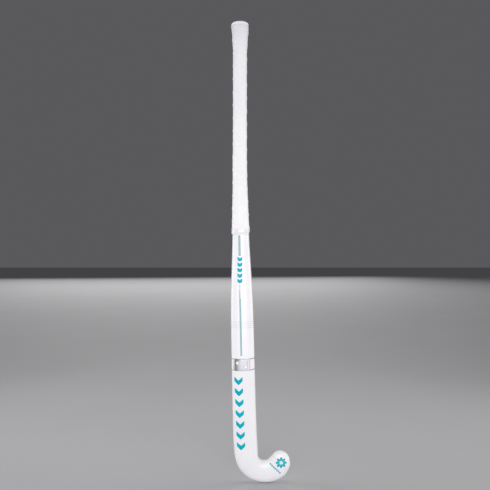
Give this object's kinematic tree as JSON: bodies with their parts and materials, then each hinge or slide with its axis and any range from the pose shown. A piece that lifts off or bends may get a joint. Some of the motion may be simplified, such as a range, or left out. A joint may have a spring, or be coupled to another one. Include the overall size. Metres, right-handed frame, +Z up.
{
  "type": "field hockey stick",
  "caption": "Composite field hockey stick with a hooked head, flat playing face, rounded back, bowed shaft and a wrapped cushion grip.",
  "frame": {"origin": "middle of the flat crown of the butt cap, on the axis of the straight handle; the stick hangs below it", "axes": "+Z up along the handle, out of the butt; +X towards the toe; +Y the side of the flat playing face, so -Y is the rounded back"},
  "size_m": [0.1191, 0.0443, 0.927],
  "materials": {
    "lacquer": "glossy white lacquer over laminate",
    "aramid": "resin-bonded aramid weave",
    "foam": "closed-cell polyurethane foam",
    "carbon": "raw carbon composite",
    "cap": "satin white moulded elastomer",
    "underlay": "thin adhesive tape",
    "grip": "soft polyurethane wrap, faint embossed grain",
    "tape": "smooth white vinyl tape",
    "stripe_ink": "muted teal print under lacquer",
    "teal_ink": "bright teal print under lacquer",
    "grey_ink": "pale grey print under lacquer",
    "white_ink": "white print under lacquer",
    "foil": "satin silver foil transfer",
    "dark_foil": "darker silver foil edging"
  },
  "bodies": {
    "root": {"outer_laminate": "lacquer", "face_ply": "aramid", "head_core": "foam", "tube_heel_side": "carbon", "tube_toe_side": "carbon", "handle_plug": "foam", "butt_cap": "cap", "grip_underlay": "underlay", "cushion_grip": "grip", "finishing_tape": "tape", "upper_pinstripe": "stripe_ink", "upper_motif": "teal_ink", "small_marks": "grey_ink", "lower_pinstripe": "stripe_ink", "hairlines": "grey_ink", "foil_band": "foil", "foil_border": "dark_foil", "foil_emblem": "white_ink", "lower_motif": "teal_ink", "head_sunburst": "teal_ink", "head_dashes": "teal_ink"}
  },
  "joints": []
}
